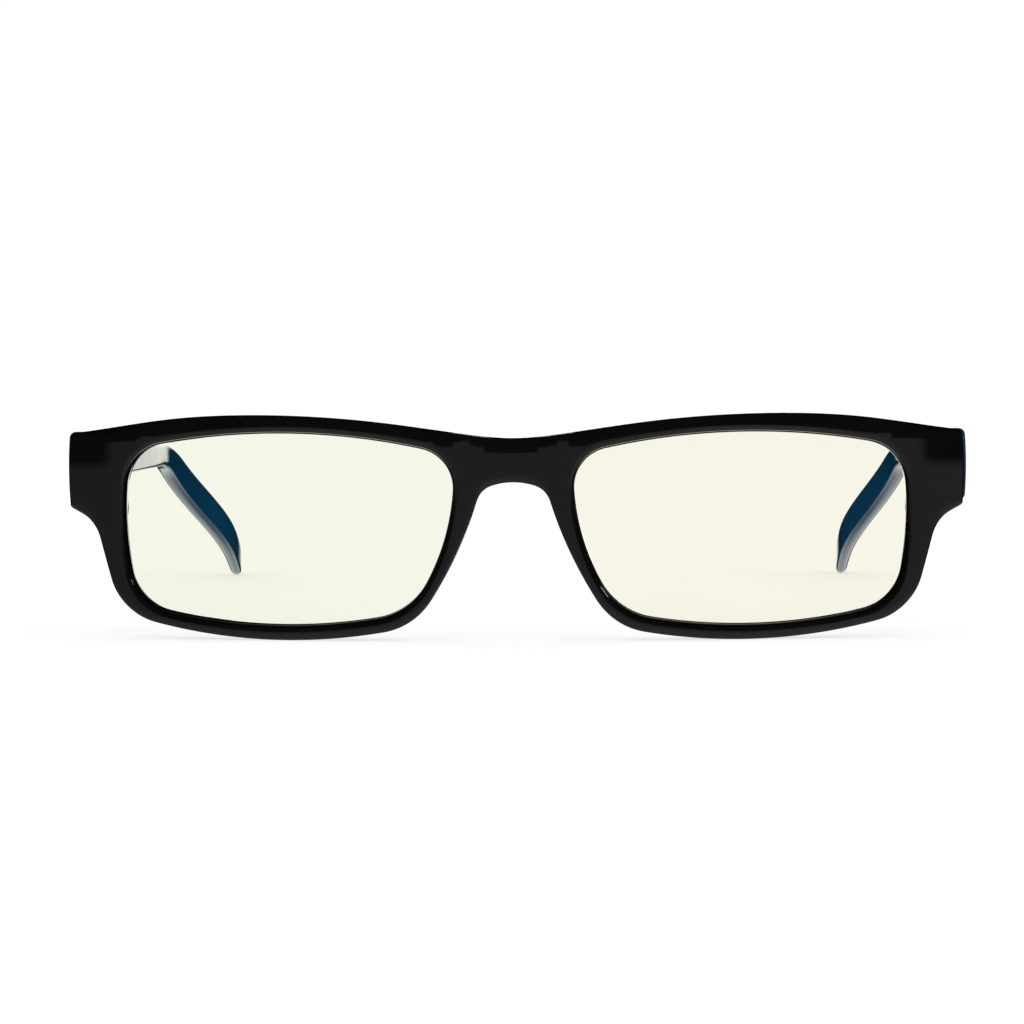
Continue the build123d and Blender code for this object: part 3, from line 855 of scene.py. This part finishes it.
def floor():
    """Large pale floor under the glasses, partly lit from within and not mirrored by the gloss."""
    mesh = bpy.data.meshes.new("floor")
    corners = [(-1, -1), (1, -1), (1, 1), (-1, 1)]
    points = [(x * FLOOR_REACH, y * FLOOR_REACH, -FLOOR_GAP) for x, y in corners]
    mesh.from_pydata(points, [], [(0, 1, 2, 3)])
    plane = bpy.data.objects.new("floor", mesh)
    bpy.context.scene.collection.objects.link(plane)
    material, shader = new_material("pale_floor")
    shader.inputs["Base Color"].default_value = FLOOR_GREY
    shader.inputs["Emission Color"].default_value = WHITE
    shader.inputs["Emission Strength"].default_value = FLOOR_EMISSION
    shader.inputs["Roughness"].default_value = 1.0
    shader.inputs["Specular IOR Level"].default_value = 0.0
    mesh.materials.append(material)
    plane.visible_glossy = False


def studio():
    """Surroundings: even white for all but glossy rays, which see other levels by direction.

    The gloss mirrors a grey front that is brighter towards +X, a dark ceiling, a bright table low behind and
    a narrow white backdrop straight behind.
    """
    world = bpy.data.worlds.new("studio")
    bpy.context.scene.world = world
    world.use_nodes = True
    nodes, links = world.node_tree.nodes, world.node_tree.links
    nodes.clear()
    direction = nodes.new("ShaderNodeTexCoord")
    split = nodes.new("ShaderNodeSeparateXYZ")
    links.new(direction.outputs["Generated"], split.inputs["Vector"])

    def step(axis, start, end, low=0.0, high=1.0):
        """Smooth step from low to high as a coordinate of the direction goes from start to end."""
        made = nodes.new("ShaderNodeMapRange")
        made.interpolation_type = "SMOOTHSTEP"
        ends = sorted(((start, low), (end, high)))
        for key, (place, level) in zip(("Min", "Max"), ends):
            made.inputs[f"From {key}"].default_value = place
            made.inputs[f"To {key}"].default_value = level
        links.new(split.outputs[axis], made.inputs["Value"])
        return made.outputs["Result"]

    def both(operation, first, second):
        made = nodes.new("ShaderNodeMath")
        made.operation = operation
        links.new(first, made.inputs[0])
        links.new(second, made.inputs[1])
        return made.outputs["Value"]

    height = nodes.new("ShaderNodeValToRGB")
    shift = nodes.new("ShaderNodeMapRange")
    shift.inputs["From Min"].default_value = -1.0
    links.new(split.outputs["Z"], shift.inputs["Value"])
    links.new(shift.outputs["Result"], height.inputs["Fac"])
    points = height.color_ramp.elements
    points.remove(points[0])
    for i, (place, level) in enumerate(MIRRORED_HEIGHTS):
        point = points[0] if i == 0 else points.new(place)
        point.position = place
        point.color = (level, level, level, 1)
    lit = both("MAXIMUM", step("Y", 0.1, -0.5), step("Z", -0.3, -0.6))
    front = both("MULTIPLY", height.outputs["Color"], lit)
    front = both("MULTIPLY", front, step("X", -1.2, 1.2, low=0.8, high=1.2))
    backdrop = both("MULTIPLY", step("Y", 0.97, 0.995, high=1.5), step("Z", 0.7, 0.0))
    table = both("MULTIPLY", step("Y", 0.3, 0.6), step("Z", -0.32, -0.62, high=2.0))
    total = both("ADD", front, both("ADD", backdrop, table))
    mirrored = nodes.new("ShaderNodeBackground")
    links.new(total, mirrored.inputs["Color"])
    plain = nodes.new("ShaderNodeBackground")
    plain.inputs["Color"].default_value = WHITE
    plain.inputs["Strength"].default_value = SURROUNDINGS
    path = nodes.new("ShaderNodeLightPath")
    mix = nodes.new("ShaderNodeMixShader")
    output = nodes.new("ShaderNodeOutputWorld")
    links.new(path.outputs["Is Glossy Ray"], mix.inputs["Fac"])
    links.new(plain.outputs["Background"], mix.inputs[1])
    links.new(mirrored.outputs["Background"], mix.inputs[2])
    links.new(mix.outputs["Shader"], output.inputs["Surface"])


def softbox(name, place, aim, size, power):
    """Rectangular soft light."""
    light = bpy.data.lights.new(name, "AREA")
    light.shape = "RECTANGLE"
    light.size, light.size_y = size
    light.energy = power
    lamp = bpy.data.objects.new(name, light)
    bpy.context.scene.collection.objects.link(lamp)
    lamp.location = place
    lamp.rotation_euler = (Vector(aim) - Vector(place)).to_track_quat("-Z", "Y").to_euler()


def camera():
    """Camera at the viewing angle of the object, with its small roll."""
    data = bpy.data.cameras.new("camera")
    data.lens = FOCAL_LENGTH
    data.sensor_width = 36.0
    data.clip_start = 0.01
    eye = bpy.data.objects.new("camera", data)
    bpy.context.scene.collection.objects.link(eye)
    back = Vector(
        (
            math.sin(CAMERA_AZIMUTH) * math.cos(CAMERA_ELEVATION),
            -math.cos(CAMERA_AZIMUTH) * math.cos(CAMERA_ELEVATION),
            math.sin(CAMERA_ELEVATION),
        )
    )
    turn = (-back).to_track_quat("-Z", "Y") @ Matrix.Rotation(-CAMERA_ROLL, 3, "Z").to_quaternion()
    eye.location = CAMERA_AIM + back * CAMERA_DISTANCE
    eye.rotation_euler = turn.to_euler()
    bpy.context.scene.camera = eye


floor()
studio()
softbox("key", (0.95, -0.45, 0.55), (0, -0.03, 0.02), (0.12, 0.17), 1.2)
camera()
bpy.context.scene.view_settings.view_transform = "Standard"
